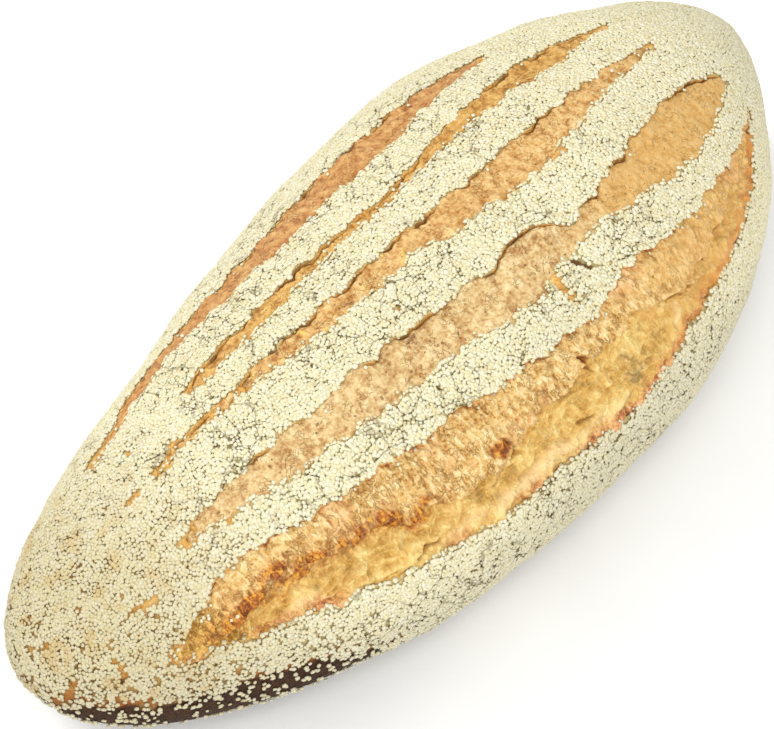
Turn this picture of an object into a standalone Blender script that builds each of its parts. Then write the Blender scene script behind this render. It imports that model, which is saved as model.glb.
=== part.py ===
"""A long sourdough loaf, baked free-standing: one solid with five slashes along its crust.

The loaf lies along X on its flat base, with its far end at +X and its largest slash towards -Y.
Places on the crust are given by how far along the loaf they are, from its middle, and by how far
across, measured over the crust from the crown line, minus towards +Y and plus towards -Y.
"""

import math

import bmesh
import bpy
import numpy as np

MM = 0.001

# The whole loaf
LENGTH = 330 * MM
WIDTH = 147 * MM
HEIGHT = 88.5 * MM
WIDEST_HEIGHT = 35 * MM  # how high above the base the loaf is widest
WIDEST_PLACE = 0.27  # share of the half length, towards the far end, where it is widest
SIDE_BOW = 4.6 * MM  # how far the loaf is bent sideways along its length
BASE_SPREAD = 1.12  # over 1, so that the surface it was baked on cuts the underside flat
BASE_POWER = 5  # how long the underside keeps its depth towards the ends

# How the two ends narrow: a larger power keeps the loaf full for longer
NEAR_END = {"width_power": 1.58, "width_root": 2.2, "height_power": 2.2}
FAR_END = {"width_power": 1.58, "width_root": 1.47, "height_power": 1.95}
CROWN_FULLNESS = 2.1
SIDE_FULLNESS = 2.15
BASE_FULLNESS = 2.6

# Swellings and hollows of the hand-shaped sides, placed and spread in half lengths
SWELLINGS = (
    {"side": 1, "middle": 0.15, "spread": 0.30, "height": 0.8 * MM},
    {"side": 1, "middle": -0.45, "spread": 0.25, "height": -2.4 * MM},
    {"side": -1, "middle": 0.30, "spread": 0.30, "height": -4.1 * MM},
    {"side": -1, "middle": -0.40, "spread": 0.25, "height": 2.9 * MM},
)
SWELLING_FADE = 1.5  # how fast a swelling fades towards the crown and the base

# The crust's gentle unevenness: a wave along the loaf times one across it, and a slanting wave,
# each by how far it turns, in radians, over a wave length, and where it starts
WAVE_HEIGHT = 0.45 * MM
WAVE_LENGTH = 47 * MM
WAVE_ALONG = 5
WAVE_ACROSS = 4
WAVE_ACROSS_START = 1
SLANT_ALONG = 3
SLANT_ACROSS = 7
SLANT_START = 2
WAVE_END_FADE = 4  # the waves fade towards the two ends with this power of the half length

# The slashes, from the far side to the near side. Each row is one place along a slash, in
# millimetres: how far along the loaf it is, and how far across its two edges lie there.
SLASHES = {
    "far_side": ((-114, -32, -31), (-73, -48.5, -41.5), (-20, -51.8, -38.5), (48, -50, -37.7),
                 (66, -46.5, -39), (78, -40, -39)),
    "second": ((-82, -22.5, -22), (-72, -25.5, -20.5), (-42, -26.7, -21), (6, -24.1, -21.6),
               (41, -25.6, -19.5), (79, -26.6, -16.2), (92, -22.7, -16), (114, -15.2, -14.8)),
    "crown": ((-108, -9.5, -9), (-98, -11.7, -8.4), (-76, -10.6, -8.5), (-32, -10.4, -1.8),
              (0, -8.4, 0.7), (34, -5.8, 7.6), (52, -5.2, 7.9), (91, -2.2, 4.2), (116, 1.2, 1.6)),
    "necked": ((-120, 12, 12.5), (-109, 9.6, 14.3), (-82, 9.7, 22), (-21, 15.9, 30.7),
               (8, 19.5, 36.8), (25, 17.5, 34.1), (33, 27.5, 33), (45, 25.7, 34.2), (84, 19.8, 39),
               (107, 18.7, 34.1), (118, 21, 30.5), (124, 24.5, 26)),
    "near_side": ((-141, 30, 32.5), (-115, 25, 48), (-96, 31.3, 58.6), (-38, 42.5, 78.5),
                  (21, 52, 83.6), (37, 48, 81.5), (63, 50.6, 75.5), (103, 45.6, 59.5),
                  (114, 41, 49.5), (125, 36, 37)),
}
CORNER_EASE = 3 * MM  # how far along the loaf the corners of these outlines are rounded
EASE_SAMPLES = 7  # places over that length whose mean is taken

# The near-side slash tore open in two layers: a crisp shelf, which ends on this line of places
# along and across, and the soft crumb below it
TEAR = ((-133, 35.5), (-110, 40.4), (-82, 50.3), (-37, 61.4), (-5, 62.7), (8, 59.7), (27, 59.6),
        (46, 62.2), (65, 61.5), (86, 57), (125, 36.6))
TEAR_KEEPS = (0.3, 0.75)  # the tear stays between these shares of the slash's width

# Height of each layer over the crust, as (share of the way across it, height)
SLASH_PROFILE = ((0, 1.0 * MM), (0.09, -1.7 * MM), (0.35, -0.9 * MM), (0.65, -0.5 * MM), (1, 0.2 * MM))
SHELF_PROFILE = ((0, 1.5 * MM), (0.09, -2.3 * MM), (0.4, -0.7 * MM), (0.75, -0.8 * MM), (1, -1.6 * MM))
CRUMB_PROFILE = ((0.13, -3.6 * MM), (0.45, -3.2 * MM), (0.8, -2.3 * MM), (1, 0.6 * MM))
FULL_DEPTH_WIDTH = 9 * MM  # a slash narrower than this is shallower in proportion

SLASH_TIP = 7 * MM  # length over which a slash deepens from each of its ends

# How finely the crust is drawn
ROWS = 80
END_CROWDING = 0.5  # 0 spaces the rows evenly, 1 crowds them at the ends as on a globe
BASE_COLUMNS = 2
LOWER_SIDE_COLUMNS = 5
UPPER_SIDE_COLUMNS = 5
STRIP_COLUMNS = 3
SHARP_ANGLE = 50  # degrees: a step over this, as at a slash's lip, shows as a sharp edge
OUTLINE_STEPS = 720
QUARTER = OUTLINE_STEPS // 4  # steps from the middle of the base to the widest line
RIM_STEP = OUTLINE_STEPS // 12  # steps from the middle of the base to the rim of its flat part
SHORTEST = 1e-12  # keeps a length that is divided by away from zero

MATERIALS = {
    "coated crust": {"color": (0.72, 0.63, 0.40, 1), "roughness": 0.85},
    "open crumb": {"color": (0.62, 0.33, 0.11, 1), "roughness": 0.75},
    "baked base": {"color": (0.10, 0.04, 0.015, 1), "roughness": 0.8},
}


def clear_scene():
    """Removes whatever the scene holds."""
    for old in list(bpy.data.objects):
        bpy.data.objects.remove(old, do_unlink=True)


def bell(place, middle, spread):
    """1 at the middle, falling to nothing a few spreads away."""
    return np.exp(-(((place - middle) / spread) ** 2))


def loaf_outlines(along):
    """The loaf's outline at each place along it, given in half lengths, as points by place and step.

    An outline starts under the base, goes up the far side, over the crown and down the near side.
    """
    along = along[:, None]
    turn = np.linspace(-math.pi / 2, 3 * math.pi / 2, OUTLINE_STEPS + 1)[None, :]
    is_near = along < WIDEST_PLACE
    end = {name: np.where(is_near, NEAR_END[name], FAR_END[name]) for name in NEAR_END}
    to_near_end = (WIDEST_PLACE - along) / (1 + WIDEST_PLACE)
    to_far_end = (along - WIDEST_PLACE) / (1 - WIDEST_PLACE)
    to_end = np.clip(np.where(is_near, to_near_end, to_far_end), 0, 1)
    half_width = WIDTH / 2 * (1 - to_end ** end["width_power"]) ** (1 / end["width_root"])
    crown_rise = (HEIGHT - WIDEST_HEIGHT) * np.sqrt(1 - to_end ** end["height_power"])
    base_drop = WIDEST_HEIGHT * BASE_SPREAD * np.sqrt(1 - to_end**BASE_POWER)

    sideways = np.cos(turn)
    upright = np.sin(turn)
    is_above = upright >= 0
    reach = np.abs(sideways) ** (2 / np.where(is_above, SIDE_FULLNESS, BASE_FULLNESS))
    y = half_width * reach * np.sign(sideways)
    for swelling in SWELLINGS:
        height = swelling["height"] * bell(along, swelling["middle"], swelling["spread"])
        is_this_side = swelling["side"] * sideways > 0
        lifted = swelling["side"] * height * np.abs(sideways) ** SWELLING_FADE
        y = y + np.where(is_this_side, lifted, 0)
    y = y - SIDE_BOW * (1 - 2 * along**2)
    rise = crown_rise * np.abs(upright) ** (2 / CROWN_FULLNESS)
    drop = base_drop * np.abs(upright) ** (2 / BASE_FULLNESS)
    z = WIDEST_HEIGHT + np.where(is_above, rise, -drop)
    x = LENGTH / 2 * along + 0 * y
    return np.stack([x, y, np.maximum(z, 0)], axis=-1)


def measured_across(outlines):
    """How far across the crust each step of each outline lies, from the crown line."""
    steps = np.linalg.norm(np.diff(outlines, axis=1), axis=2)
    across = np.concatenate([np.zeros((len(outlines), 1)), np.cumsum(steps, axis=1)], axis=1)
    return across - across[:, OUTLINE_STEPS // 2, None]


def crust_line(x, half_girths, stations):
    """How far across a line on the crust lies at each x. Past its ends it keeps its share of the girth."""
    places, across = np.array(stations).T * MM
    shares = across / np.interp(places, x, half_girths)
    offsets = np.linspace(-CORNER_EASE, CORNER_EASE, EASE_SAMPLES)
    return half_girths * np.mean([np.interp(x + offset, places, shares) for offset in offsets], axis=0)


def lay_columns(x, across):
    """The columns round the crust, in order, each as how far across it lies, its height and its layer."""
    columns = []
    half_girths = across[:, -1]

    def lay(first, second, profile, layer, depth=1):
        for share, height in profile:
            columns.append((first + (second - first) * share, height * depth, layer))

    def plain(count, start=0):
        return [(step / count, 0) for step in range(start, count)]

    rim, widest = across[:, RIM_STEP], across[:, QUARTER]
    lay(across[:, 0], rim, plain(BASE_COLUMNS), "baked base")
    lay(rim, widest, plain(LOWER_SIDE_COLUMNS), "coated crust")
    previous = widest
    for name, stations in SLASHES.items():
        upper = crust_line(x, half_girths, [(place, high) for place, high, _ in stations])
        lower = crust_line(x, half_girths, [(place, low) for place, _, low in stations])
        depth = np.clip((lower - upper) / FULL_DEPTH_WIDTH, 0, 1)
        depth *= np.clip((x - stations[0][0] * MM) / SLASH_TIP, 0, 1)
        depth *= np.clip((stations[-1][0] * MM - x) / SLASH_TIP, 0, 1)
        strip = plain(UPPER_SIDE_COLUMNS) if name == "far_side" else plain(STRIP_COLUMNS, 1)
        lay(previous, upper, strip, "coated crust")
        if name == "near_side":
            fullness = (crust_line(x, half_girths, TEAR) - upper) / (lower - upper)
            tear = upper + (lower - upper) * np.clip(fullness, *TEAR_KEEPS)
            lay(upper, tear, SHELF_PROFILE, "open crumb", depth)
            lay(tear, lower, CRUMB_PROFILE, "open crumb", depth)
        else:
            lay(upper, lower, SLASH_PROFILE, "open crumb", depth)
        previous = lower
    rim, widest = across[:, OUTLINE_STEPS - RIM_STEP], across[:, OUTLINE_STEPS - QUARTER]
    lay(previous, widest, plain(UPPER_SIDE_COLUMNS, 1), "coated crust")
    lay(widest, rim, plain(LOWER_SIDE_COLUMNS), "coated crust")
    lay(rim, across[:, -1], plain(BASE_COLUMNS), "baked base")
    return columns


def crust_points(along):
    """The crust's points by place and column, and each column's layer."""
    outlines = loaf_outlines(along)
    across = measured_across(outlines)
    columns = lay_columns(outlines[:, 0, 0], across)
    tangents = np.gradient(outlines, axis=1)
    normals = np.stack([tangents[..., 2], -tangents[..., 1]], axis=-1)
    normals /= np.maximum(np.linalg.norm(normals, axis=-1, keepdims=True), SHORTEST)

    points = np.zeros((len(along), len(columns), 3))
    for column, (places, heights, _) in enumerate(columns):
        for row in range(len(along)):
            at = places[row]
            x_row, y, z = (np.interp(at, across[row], outlines[row, :, axis]) for axis in range(3))
            far_along, far_across = x_row / WAVE_LENGTH, at / WAVE_LENGTH
            wave = math.sin(far_along * WAVE_ALONG) * math.sin(far_across * WAVE_ACROSS + WAVE_ACROSS_START)
            wave += math.sin(far_along * SLANT_ALONG + far_across * SLANT_ACROSS + SLANT_START)
            fade = min(z / WIDEST_HEIGHT, 1) * (1 - along[row] ** WAVE_END_FADE)
            raised = np.broadcast_to(heights, places.shape)[row] + WAVE_HEIGHT * wave * fade
            y += raised * np.interp(at, across[row], normals[row, :, 0])
            z += raised * np.interp(at, across[row], normals[row, :, 1])
            points[row, column] = x_row, y, max(z, 0)
    return points, [layer for _, _, layer in columns]


def make_materials():
    """One material for each layer of the crust."""
    made = []
    for name, look in MATERIALS.items():
        material = bpy.data.materials.new(name)
        material.use_nodes = True
        shader = material.node_tree.nodes["Principled BSDF"]
        shader.inputs["Base Color"].default_value = look["color"]
        shader.inputs["Roughness"].default_value = look["roughness"]
        shader.inputs["Metallic"].default_value = 0
        made.append(material)
    return made


def make_loaf(collection):
    """A globe with its poles at the loaf's two ends, its rings and meridians laid over the crust."""
    rings = np.arange(ROWS + 1) / ROWS
    along = (1 - END_CROWDING) * (1 - 2 * rings) + END_CROWDING * np.cos(math.pi * rings)
    inner_points, layers = crust_points(along[ROWS - 1:0:-1])
    inner_points = inner_points[::-1]

    mesh = bmesh.new()
    bmesh.ops.create_uvsphere(mesh, u_segments=len(layers), v_segments=ROWS, radius=1)
    for face in mesh.faces:
        middle = face.calc_center_median()
        column = int((math.atan2(middle.y, middle.x) % math.tau) / math.tau * len(layers))
        face.material_index = list(MATERIALS).index(layers[column])
        face.smooth = True
    for vertex in mesh.verts:
        ring = round(math.acos(max(-1, min(1, vertex.co.z))) / math.pi * ROWS)
        column = round(math.atan2(vertex.co.y, vertex.co.x) / math.tau * len(layers)) % len(layers)
        if ring in (0, ROWS):
            vertex.co = (LENGTH / 2 * along[ring], SIDE_BOW, WIDEST_HEIGHT)
        else:
            vertex.co = inner_points[ring - 1, column]
    side_shift = (inner_points[..., 1].min() + inner_points[..., 1].max()) / 2
    bmesh.ops.translate(mesh, verts=mesh.verts, vec=(0, -side_shift, 0))
    bmesh.ops.triangulate(mesh, faces=mesh.faces)

    data = bpy.data.meshes.new("loaf")
    mesh.to_mesh(data)
    mesh.free()
    for material in make_materials():
        data.materials.append(material)
    data.set_sharp_from_angle(angle=math.radians(SHARP_ANGLE))
    loaf = bpy.data.objects.new("loaf", data)
    collection.objects.link(loaf)
    return loaf


def main():
    """Builds the loaf in a collection of its own."""
    clear_scene()
    collection = bpy.data.collections.new("sourdough_loaf")
    bpy.context.scene.collection.children.link(collection)
    make_loaf(collection)


main()
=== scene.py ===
import itertools
import math

import bmesh
import bpy
import numpy as np
from mathutils import Matrix, Vector


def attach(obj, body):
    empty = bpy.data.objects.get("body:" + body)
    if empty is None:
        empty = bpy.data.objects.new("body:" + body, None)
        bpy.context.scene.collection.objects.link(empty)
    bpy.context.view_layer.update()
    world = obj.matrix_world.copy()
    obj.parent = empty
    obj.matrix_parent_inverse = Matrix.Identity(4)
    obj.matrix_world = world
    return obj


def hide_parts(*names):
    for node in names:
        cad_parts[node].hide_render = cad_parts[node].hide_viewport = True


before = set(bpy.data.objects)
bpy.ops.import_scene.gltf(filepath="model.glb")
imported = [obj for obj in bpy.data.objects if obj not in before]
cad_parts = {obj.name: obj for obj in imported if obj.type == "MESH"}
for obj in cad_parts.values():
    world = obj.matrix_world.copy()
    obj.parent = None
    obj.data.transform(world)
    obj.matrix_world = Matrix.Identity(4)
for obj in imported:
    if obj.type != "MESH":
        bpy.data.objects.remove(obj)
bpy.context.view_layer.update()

# The crust. A long loaf of wheat dough, shaped by hand, rolled in cracked grain and baked on a hot
# stone. Its skin runs whole round the loaf, flat beneath, and five strokes of the baker's blade
# opened it along the top, so that its edges curl up over the crumb.
MM = 0.001
LENGTH = 330 * MM
WIDTH = 147 * MM
HEIGHT = 88.5 * MM
WIDEST_HEIGHT = 35 * MM
WIDEST_PLACE = 0.27
SIDE_BOW = 4.6 * MM
BASE_SPREAD = 1.12
NEAR_END = {"width_power": 1.58, "width_root": 2.2, "height_power": 2.2}
FAR_END = {"width_power": 1.58, "width_root": 1.47, "height_power": 1.95}
CROWN_FULLNESS = 2.1
SIDE_FULLNESS = 2.15
BASE_FULLNESS = 2.6
SWELLING_FADE = 1.5
SWELLINGS = (
    {"side": 1, "middle": 0.15, "spread": 0.30, "height": 0.8 * MM},
    {"side": 1, "middle": -0.45, "spread": 0.25, "height": -2.4 * MM},
    {"side": -1, "middle": 0.30, "spread": 0.30, "height": -4.1 * MM},
    {"side": -1, "middle": -0.40, "spread": 0.25, "height": 2.9 * MM},
)
WAVE_HEIGHT = 0.45 * MM
WAVE_LENGTH = 47 * MM
OUTLINE_STEPS = 720
QUARTER = OUTLINE_STEPS // 4
RIM_STEP = OUTLINE_STEPS // 12

# Each slash from one end to the other: how far along the loaf, and how far across the crust from
# the crown line its upper and lower edges lie there, in millimetres, minus towards the far side
SLASHES = {
    "far_side": ((-114, -32, -31), (-73, -48.5, -41.5), (-20, -51.8, -38.5), (48, -50, -37.7),
                 (66, -46.5, -39), (78, -40, -39)),
    "second": ((-82, -22.5, -22), (-72, -25.5, -20.5), (-42, -26.7, -21), (6, -24.1, -21.6),
               (41, -25.6, -19.5), (79, -26.6, -16.2), (92, -22.7, -16), (114, -15.2, -14.8)),
    "crown": ((-108, -9.5, -9), (-98, -11.7, -8.4), (-76, -10.6, -8.5), (-32, -10.4, -1.8),
              (0, -8.4, 0.7), (34, -5.8, 7.6), (52, -5.2, 7.9), (91, -2.2, 4.2), (116, 1.2, 1.6)),
    "necked": ((-120, 12, 12.5), (-109, 9.6, 14.3), (-82, 9.7, 22), (-21, 15.9, 30.7),
               (8, 19.5, 36.8), (25, 17.5, 34.1), (33, 27.5, 33), (45, 25.7, 34.2), (84, 19.8, 39),
               (107, 18.7, 34.1), (118, 21, 30.5), (124, 24.5, 26)),
    "near_side": ((-141, 30, 32.5), (-115, 25, 48), (-96, 31.3, 58.6), (-38, 42.5, 78.5),
                  (21, 52, 83.6), (37, 48, 81.5), (63, 50.6, 75.5), (103, 45.6, 59.5),
                  (114, 41, 49.5), (125, 36, 37)),
}
CORNER_EASE = 1.4 * MM
SLASH_TIP = 7 * MM
FULL_DEPTH_WIDTH = 5 * MM
TORN_WIDTH = 6 * MM  # an edge is torn in full where the slash is at least this wide
SCALLOP_LENGTH = 15 * MM
SCALLOP_DRIFT = 23  # in millimetres, how soon the scallops' spacing changes

# The line where the near-side slash tore further, between its crisp shelf and the soft crumb
TEAR = ((-133, 35.5), (-110, 40.4), (-82, 50.3), (-37, 61.4), (-5, 62.7), (8, 59.7), (27, 59.6),
        (46, 62.2), (65, 61.5), (86, 57), (125, 36.6))
TEAR_KEEPS = (0.3, 0.75)

SKIN_DEPTH = 0.85 * MM  # the skin lies this far inside the loaf's form, under the coat of grain
SKIN_ROWS = 440
END_CROWDING = 0.5
BASE_FADE = 6 * MM
LIP_HEIGHT = 0.4 * MM
TROUGH_DEPTH = 3.4 * MM


def bell(place, middle, spread):
    """1 at the middle, falling to nothing a few spreads away."""
    return np.exp(-(((place - middle) / spread) ** 2))


def smooth(value, low, high):
    """0 below low, 1 above high, and an even rise between."""
    share = np.clip((value - low) / (high - low), 0, 1)
    return share * share * (3 - 2 * share)


def fade(value, low, high):
    """1 below low, 0 above high, and an even fall between."""
    return 1 - smooth(value, low, high)


def unevenness(places, size, seed):
    """Bumps and hollows of one size in millimetres, from -1 to 1, at places given as points by axis."""
    places = places / (np.asarray(size) * MM)
    cells = np.floor(places).astype(np.int64)
    parts = places - cells
    parts = parts * parts * (3 - 2 * parts)
    heights = np.random.default_rng(seed).uniform(-1, 1, 4096)
    spread = np.array([73856093, 19349663, 83492791])[: places.shape[-1]]
    total = 0
    for corner in itertools.product((0, 1), repeat=places.shape[-1]):
        at = np.bitwise_xor.reduce((cells + np.array(corner)) * spread, axis=-1)
        total = total + np.where(corner, parts, 1 - parts).prod(-1) * heights[at & 4095]
    return total


def rough(places, seed, *layers):
    """Unevenness of several sizes together, each as its height and its size in millimetres."""
    layers = enumerate(layers, start=seed)
    return sum(height * unevenness(places, size, step) for step, (height, size) in layers)


def patches(spots, seed, size, low, high):
    """Soft-edged patches of one size in millimetres, where the unevenness rises from low to high."""
    return smooth(unevenness(spots, size, seed), low, high)


def from_oval(spots, place, side, half_length, half_width):
    """How far spots lie from an oval's middle: 1 is its edge. The oval is given in millimetres."""
    x, across = spots[..., 0], spots[..., 1]
    return np.hypot((x - place * MM) / (half_length * MM), (across - side * MM) / (half_width * MM))


def loaf_outlines(along):
    """The loaf's outline at each place along it, in half lengths, as points by place and step.

    An outline starts under the base, goes up the far side, over the crown and down the near side.
    """
    along = along[:, None]
    turn = np.linspace(-math.pi / 2, 3 * math.pi / 2, OUTLINE_STEPS + 1)[None, :]
    is_near = along < WIDEST_PLACE
    end = {name: np.where(is_near, NEAR_END[name], FAR_END[name]) for name in NEAR_END}
    to_near_end = (WIDEST_PLACE - along) / (1 + WIDEST_PLACE)
    to_far_end = (along - WIDEST_PLACE) / (1 - WIDEST_PLACE)
    to_end = np.clip(np.where(is_near, to_near_end, to_far_end), 0, 1)
    half_width = WIDTH / 2 * (1 - to_end ** end["width_power"]) ** (1 / end["width_root"])
    crown_rise = (HEIGHT - WIDEST_HEIGHT) * np.sqrt(1 - to_end ** end["height_power"])
    base_drop = WIDEST_HEIGHT * BASE_SPREAD * np.sqrt(1 - to_end**5)

    sideways = np.cos(turn)
    upright = np.sin(turn)
    is_above = upright >= 0
    reach = np.abs(sideways) ** (2 / np.where(is_above, SIDE_FULLNESS, BASE_FULLNESS))
    y = half_width * reach * np.sign(sideways)
    for swelling in SWELLINGS:
        height = swelling["height"] * bell(along, swelling["middle"], swelling["spread"])
        is_this_side = swelling["side"] * sideways > 0
        lifted = swelling["side"] * height * np.abs(sideways) ** SWELLING_FADE
        y = y + np.where(is_this_side, lifted, 0)
    y = y - SIDE_BOW * (1 - 2 * along**2)
    rise = crown_rise * np.abs(upright) ** (2 / CROWN_FULLNESS)
    drop = base_drop * np.abs(upright) ** (2 / BASE_FULLNESS)
    z = WIDEST_HEIGHT + np.where(is_above, rise, -drop)
    x = LENGTH / 2 * along + 0 * y
    return np.stack([x, y, np.maximum(z, 0)], axis=-1)


def measured_across(outlines):
    """How far across the crust each step of each outline lies, from the crown line."""
    steps = np.linalg.norm(np.diff(outlines, axis=1), axis=2)
    across = np.concatenate([np.zeros((len(outlines), 1)), np.cumsum(steps, axis=1)], axis=1)
    return across - across[:, OUTLINE_STEPS // 2, None]


def crust_line(x, half_girths, stations):
    """How far across a line on the crust lies at each x. Past its ends it keeps its girth's share."""
    places, across = np.array(stations).T * MM
    shares = across / np.interp(places, x, half_girths)
    offsets = np.linspace(-CORNER_EASE, CORNER_EASE, 7)
    return half_girths * np.mean([np.interp(x + offset, places, shares) for offset in offsets], axis=0)


class Crust:
    """The loaf's form at some places along it, ready to lay a surface of points over."""

    def __init__(self, x):
        self.x = x
        self.along = x / (LENGTH / 2)
        self.outlines = loaf_outlines(self.along)
        self.across = measured_across(self.outlines)
        self.half_girths = self.across[:, -1]
        tangents = np.gradient(self.outlines, axis=1)
        normals = np.stack([tangents[..., 2], -tangents[..., 1]], axis=-1)
        self.normals = normals / np.maximum(np.linalg.norm(normals, axis=-1, keepdims=True), 1e-12)

    def points(self, across, raised):
        """Points over the crust, by row and column, raised by that much along its normal."""
        made = np.zeros(across.shape + (3,))
        for row, at in enumerate(across):
            x, y, z = (np.interp(at, self.across[row], self.outlines[row, :, axis]) for axis in range(3))
            ny, nz = (np.interp(at, self.across[row], self.normals[row, :, axis]) for axis in range(2))
            wave = np.sin(x / WAVE_LENGTH * 5) * np.sin(at / WAVE_LENGTH * 4 + 1)
            wave += np.sin(x / WAVE_LENGTH * 3 + at / WAVE_LENGTH * 7 + 2)
            calmed = np.minimum(z / WIDEST_HEIGHT, 1) * (1 - self.along[row] ** 4)
            height = WAVE_HEIGHT * wave * calmed
            height += raised[row] * np.where(raised[row] < 0, smooth(z, 0, BASE_FADE), 1)
            made[row] = np.stack([x, y + height * ny, np.maximum(z + height * nz, 0)], axis=-1)
        made[..., 1] -= SIDE_SHIFT
        return made

    def slash_edges(self, name):
        """The upper and lower edges of a slash at each row, torn and scalloped, and how open it is."""
        stations = SLASHES[name]
        upper = crust_line(self.x, self.half_girths, [(place, high) for place, high, _ in stations])
        lower = crust_line(self.x, self.half_girths, [(place, low) for place, _, low in stations])
        width = lower - upper
        tips = np.clip((self.x - stations[0][0] * MM) / SLASH_TIP, 0, 1)
        tips *= np.clip((stations[-1][0] * MM - self.x) / SLASH_TIP, 0, 1)
        opened = np.clip(width / FULL_DEPTH_WIDTH, 0, 1) * tips
        places = self.x[:, None]
        curl = 0.55 + 0.6 * unevenness(places, 8, len(name))
        seed = list(SLASHES).index(name) * 10
        drift = unevenness(places, SCALLOP_DRIFT, seed)
        scallop = 0.6 - np.abs(np.sin(math.pi * (self.x / SCALLOP_LENGTH + 0.7 * drift)))
        torn_upper = 1.3 * scallop + rough(places, seed + 1, (0.5, 4.6), (0.6, 1.9))
        torn_lower = rough(places, seed + 3, (1.0, 8), (0.9, 3.4), (0.5, 1.6))
        room = np.clip(width / TORN_WIDTH, 0, 1)
        upper = upper + torn_upper * MM * room
        lower = np.maximum(lower + torn_lower * MM * room, upper + 0.3 * width)
        return upper, lower, opened, np.clip(curl, 0.1, 1)


def frayed(opened, places, name):
    """How open a slash is at each place: even along its middle, in ragged fingers at its tips."""
    fray = rough(places, 400 + 10 * list(SLASHES).index(name), (0.45, 3.6), (0.3, 1.6))
    return smooth(opened + fray * fade(opened, 0.6, 0.95), 0.25, 0.7) * np.clip(opened * 4, 0, 1)


whole = loaf_outlines(np.linspace(-0.98, 0.98, 99))
SIDE_SHIFT = (whole[..., 1].min() + whole[..., 1].max()) / 2  # brings the loaf's middle to the origin


def closed_mesh(name, corners, faces, values):
    """A mesh of those corners and faces, with one number by name stored at each corner."""
    data = bpy.data.meshes.new(name)
    data.from_pydata(corners.tolist(), [], faces)
    data.polygons.foreach_set("use_smooth", np.ones(len(data.polygons), dtype=bool))
    for key, numbers in values.items():
        stored = data.attributes.new(key, "FLOAT", "POINT")
        stored.data.foreach_set("value", np.asarray(numbers, dtype=np.float32).ravel())
    data.validate()
    data.update()
    return data


def put_in(name, data, finish=None):
    """Puts a mesh, with its finish if it has one, or a lamp or the camera into the scene."""
    if finish:
        data.materials.append(finish)
    made = bpy.data.objects.new(name, data)
    bpy.context.scene.collection.objects.link(made)
    return made


def grid_faces(rows, columns, closed):
    """Four-sided faces over a grid of corners counted row by row, joined round when closed."""
    row, column = np.mgrid[0:rows - 1, 0:columns if closed else columns - 1]
    beside = (column + 1) % columns
    low, high = row * columns, (row + 1) * columns
    quads = np.stack([low + column, low + beside, high + beside, high + column], axis=-1)
    return quads.reshape(-1, 4).tolist()


rings = np.arange(SKIN_ROWS + 1) / SKIN_ROWS
skin_along = (1 - END_CROWDING) * (2 * rings - 1) - END_CROWDING * np.cos(math.pi * rings)
skin_crust = Crust(skin_along[1:-1] * LENGTH / 2)

# Heights over the skin by distance past an edge, in millimetres: the curled upper lip of a slash
# and its fall under it, and the rise from under the crumb to the flush lower edge
UPPER_LIP = ((-3, 0), (-1.8, 0.25), (-0.9, 0.75), (-0.4, 1.0), (-0.08, 0.7), (0.0, 0.0))
LIP_BARE = 0.3  # the grain stops this far short of an edge, in millimetres,
TIP_BARE = 0.8  # and this much further where a slash closes up
UPPER_FALL = ((0.1, 0.45), (0.3, 0.85), (0.7, 1.0))
LOWER_RISE = ((-1.4, 1.0), (-0.7, 0.6), (-0.25, 0.25), (0, 0))
LOWER_LIP = ((0.25, 0.05), (0.7, 0.12), (1.4, 0.3), (2.4, 0.1))
BASE_COLUMNS = 12
LOWER_SIDE_COLUMNS = 13
UPPER_SIDE_COLUMNS = 20
STRIP_COLUMNS = 10
NEAR_BAND_COLUMNS = 12
CROWDED_GIRTH = 60 * MM  # where the loaf is narrower than this, the lips' columns crowd together
CUT_TIP = 2 * MM  # the cut line that runs bare along a slash fades out this far from its tips

# each as how far across it lies, its height, how much coat it keeps and how dark its edge is drawn: partly
# baked crust, partly painted shade under the curled lip
columns = []


def lay(first, second, count, start=0):
    """Plain columns from one line to another, all of them under grain."""
    for step in range(start, count):
        place = first + (second - first) * step / count
        columns.append((place, 0 * place, 1 + 0 * place, 0 * place))


shrink = np.clip(skin_crust.half_girths / CROWDED_GIRTH, 0.02, 1)
across = skin_crust.across
lay(across[:, 0], across[:, RIM_STEP], BASE_COLUMNS)
lay(across[:, RIM_STEP], across[:, QUARTER], LOWER_SIDE_COLUMNS)
previous = across[:, QUARTER]
for name in SLASHES:
    upper, lower, opened, curl = skin_crust.slash_edges(name)
    first, last = (SLASHES[name][end][0] * MM for end in (0, -1))
    cut = smooth(skin_crust.x, first, first + CUT_TIP) * fade(skin_crust.x, last - CUT_TIP, last)
    room = (lower - upper) / 2

    def sink(place, depth, is_inside=1):
        """A column in the trough under a slash's crumb."""
        opened_here = frayed(opened, np.stack([skin_crust.x, place], axis=-1), name)
        bared = np.maximum(opened_here, cut) * is_inside
        columns.append((place, -depth * TROUGH_DEPTH * opened_here, 1 - bared, opened))

    is_first = name == "far_side"
    strip_columns = UPPER_SIDE_COLUMNS if is_first else STRIP_COLUMNS
    lay(previous, upper + UPPER_LIP[0][0] * MM * shrink, strip_columns, 0 if is_first else 1)
    for offset, height in UPPER_LIP:
        bared = cut * (offset > -(LIP_BARE + TIP_BARE * (1 - opened)))
        lifted = height * LIP_HEIGHT * opened * curl
        columns.append((upper + offset * MM * shrink, lifted, 1 - bared, opened * (offset > -LIP_BARE)))
    for offset, depth in UPPER_FALL:
        fall = np.minimum(offset * MM * shrink, room * offset)
        sink(upper + fall, depth)
    for share in (0.2, 0.4, 0.6, 0.8):
        sink(upper + fall * (1 - share) + (lower - upper) * share * 0.9, 1)
    for offset, depth in LOWER_RISE:
        sink(lower + np.maximum(offset * MM * shrink, room * offset / 7), depth, offset < 0)
    for offset, height in LOWER_LIP:
        bared = cut * (offset < LIP_BARE + TIP_BARE * (1 - opened))
        lifted = height * LIP_HEIGHT * opened * curl
        columns.append((lower + offset * MM * shrink, lifted, 1 - bared, 0 * lower))
    previous = columns[-1][0]
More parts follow.
